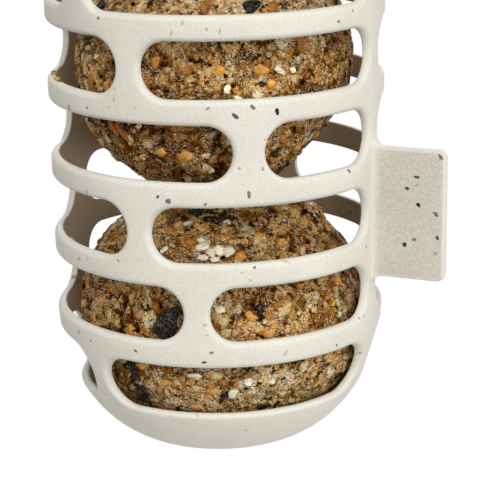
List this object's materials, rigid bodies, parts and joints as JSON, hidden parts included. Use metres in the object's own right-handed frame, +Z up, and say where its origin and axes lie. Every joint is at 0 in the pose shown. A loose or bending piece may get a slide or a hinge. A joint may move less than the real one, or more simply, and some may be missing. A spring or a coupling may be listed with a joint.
{
  "type": "fat ball feeder",
  "caption": "Hanging bird feeder: slotted plastic cage with a round foot and a side tab, a domed lid that slides up its wire bail, and stacked fat balls inside.",
  "frame": {"origin": "centre of the flat under the cage's round foot", "axes": "+Z up the cage's axis to the crown it hangs by; +X out along the side tab; -Y towards the tab's front face"},
  "size_m": [0.1134, 0.104, 0.3211],
  "materials": {
    "speckled_plastic": "matte, fine-grained, with dark specks",
    "steel_wire": "satin",
    "pressed_fat": "rough pressed crumb"
  },
  "bodies": {
    "cage_and_bail": {"cage": "speckled_plastic", "wire_bail": "steel_wire"},
    "lid": {"lid": "speckled_plastic"},
    "fat_ball_lower": {"fat_ball_lower": "pressed_fat"},
    "fat_ball_middle": {"fat_ball_middle": "pressed_fat"},
    "fat_ball_upper": {"fat_ball_upper": "pressed_fat"}
  },
  "joints": [
    {"name": "lid_lift", "type": "slide", "parent": "cage_and_bail", "child": "lid", "axis": [0, 0, 1], "range_m": [0, 0.07]},
    {"name": "lower_ball_turn", "type": "hinge", "parent": "cage_and_bail", "child": "fat_ball_lower", "pos_m": [0, 0, 0.0335], "axis": [0, 0, 1], "continuous": true},
    {"name": "middle_ball_turn", "type": "hinge", "parent": "cage_and_bail", "child": "fat_ball_middle", "pos_m": [0, 0, 0.0958], "axis": [0, 0, 1], "continuous": true},
    {"name": "upper_ball_turn", "type": "hinge", "parent": "cage_and_bail", "child": "fat_ball_upper", "pos_m": [0, 0, 0.1581], "axis": [0, 0, 1], "continuous": true}
  ]
}
